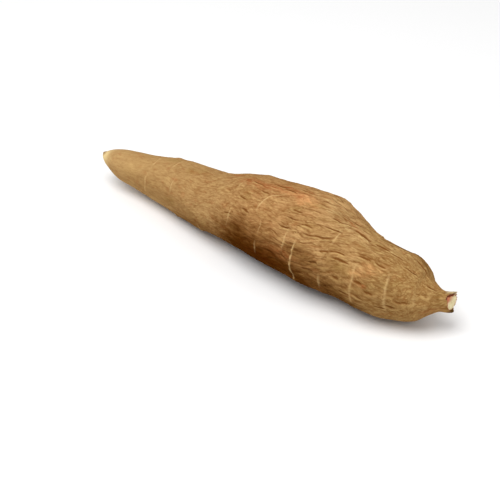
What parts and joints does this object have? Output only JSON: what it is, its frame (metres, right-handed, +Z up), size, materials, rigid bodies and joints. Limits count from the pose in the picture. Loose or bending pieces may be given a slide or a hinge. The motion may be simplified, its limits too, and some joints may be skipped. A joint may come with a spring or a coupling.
{
  "type": "cassava root",
  "caption": "Whole cassava storage root lying on its side: pointed tip, swollen shoulder, rounded lobe and a short neck cut across, in wrinkled brown bark with thin ring scars.",
  "frame": {"origin": "middle of the footprint, on the surface that the root rests on", "axes": "+X from the tip to the cut neck, +Y to the far side of the root, +Z up"},
  "size_m": [0.2994, 0.0652, 0.063],
  "materials": {
    "bark": "dry matt papery bark with fine lengthwise wrinkles, cracks and rubbed patches",
    "flesh": "moist cream flesh where the neck was snapped, with a slight sheen",
    "rind": "thin pink-red inner rind round the flesh, drying dark at the torn edge"
  },
  "bodies": {
    "root": {"cassava_root": "bark"}
  },
  "joints": []
}
